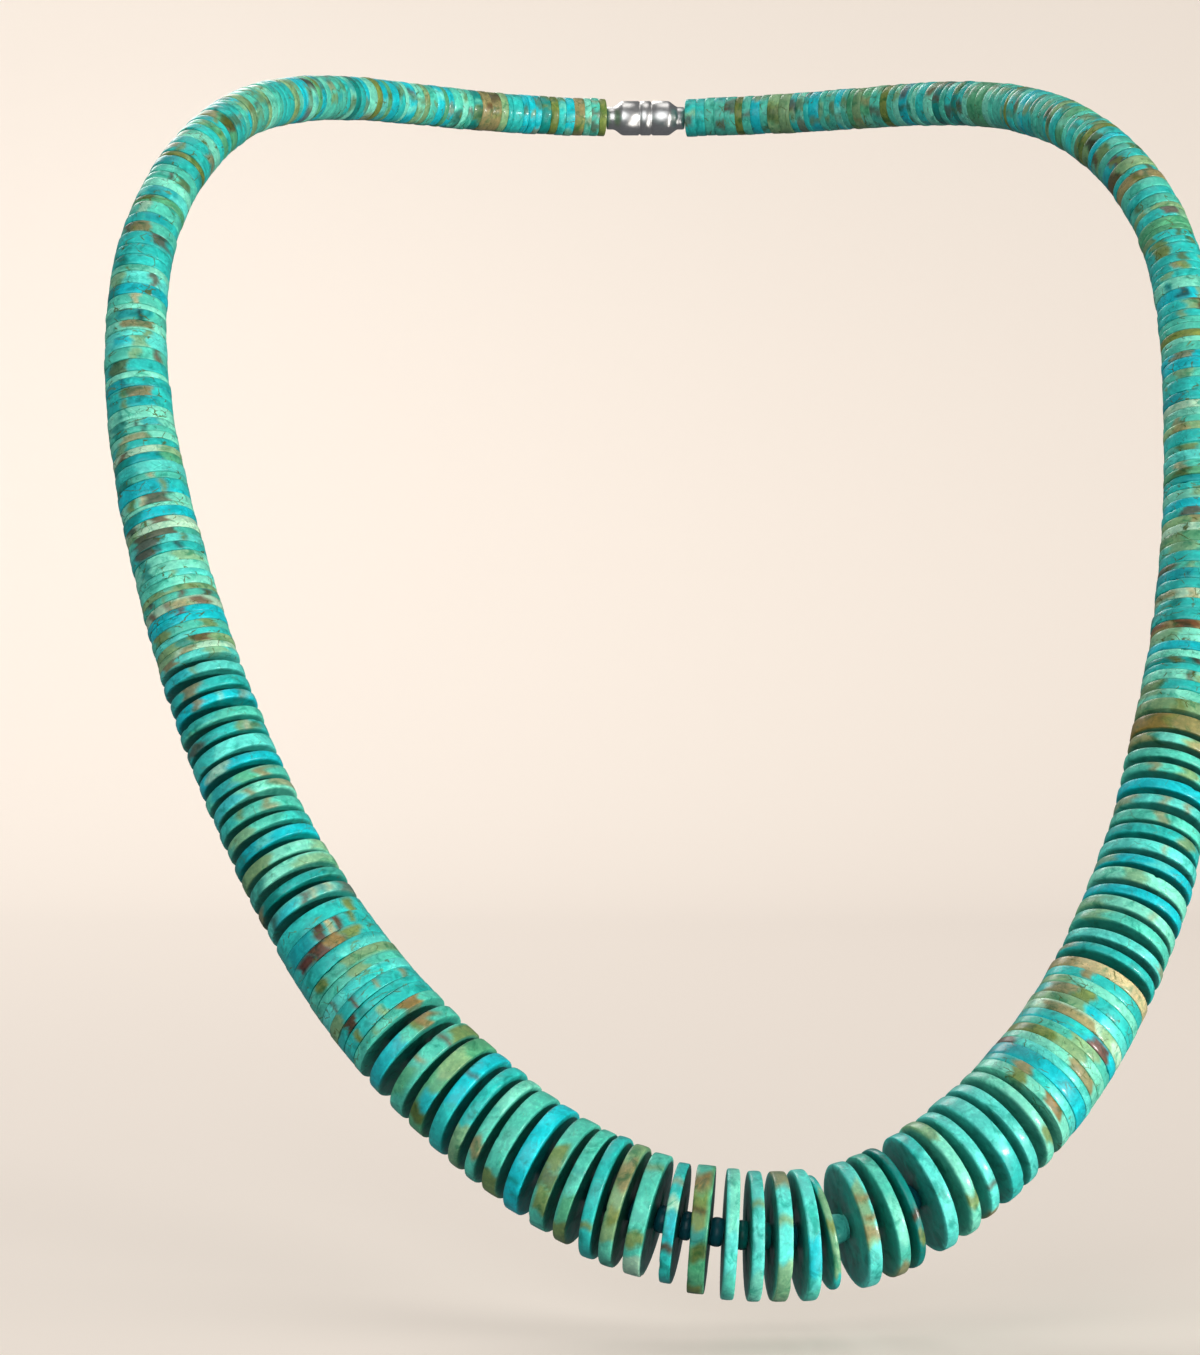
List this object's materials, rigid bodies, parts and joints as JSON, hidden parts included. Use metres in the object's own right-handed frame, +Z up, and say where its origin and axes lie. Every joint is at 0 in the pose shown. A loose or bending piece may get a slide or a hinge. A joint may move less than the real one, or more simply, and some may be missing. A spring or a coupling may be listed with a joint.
{
  "type": "graduated turquoise disc bead necklace",
  "caption": "Graduated necklace of flat drilled turquoise discs on one thread, widest and spaced apart at the front, closed by a barrel clasp behind the neck.",
  "frame": {"origin": "middle of the clasp, at the nape of the wearer's neck", "axes": "+X to the wearer's left, -Y to the front of the wearer, +Z up, with the necklace as it hangs when worn"},
  "size_m": [0.1424, 0.1409, 0.1564],
  "materials": {
    "disc_stone": "hand-polished turquoise with green and brown matrix",
    "spacer_stone": "polished dark teal, with a dark thread through it",
    "clasp_metal": "polished silver"
  },
  "bodies": {
    "root": {"center_disc_01": "disc_stone", "center_disc_02": "disc_stone", "center_disc_03": "disc_stone", "center_disc_04": "disc_stone", "center_disc_05": "disc_stone", "center_disc_06": "disc_stone", "center_disc_07": "disc_stone", "center_disc_08": "disc_stone", "center_disc_09": "disc_stone", "center_disc_10": "disc_stone", "center_disc_11": "disc_stone", "center_disc_12": "disc_stone", "center_disc_13": "disc_stone", "center_disc_14": "disc_stone", "center_disc_15": "disc_stone", "center_disc_16": "disc_stone", "center_disc_17": "disc_stone", "center_disc_18": "disc_stone", "center_disc_19": "disc_stone", "center_disc_20": "disc_stone", "center_disc_21": "disc_stone", "center_disc_22": "disc_stone", "center_disc_23": "disc_stone", "center_disc_24": "disc_stone", "center_disc_25": "disc_stone", "center_disc_26": "disc_stone", "center_disc_27": "disc_stone", "center_disc_28": "disc_stone", "center_disc_29": "disc_stone", "center_thread": "spacer_stone", "string_right": "disc_stone", "string_left": "disc_stone", "back_right": "disc_stone", "back_left": "disc_stone", "clasp": "clasp_metal"}
  },
  "joints": []
}
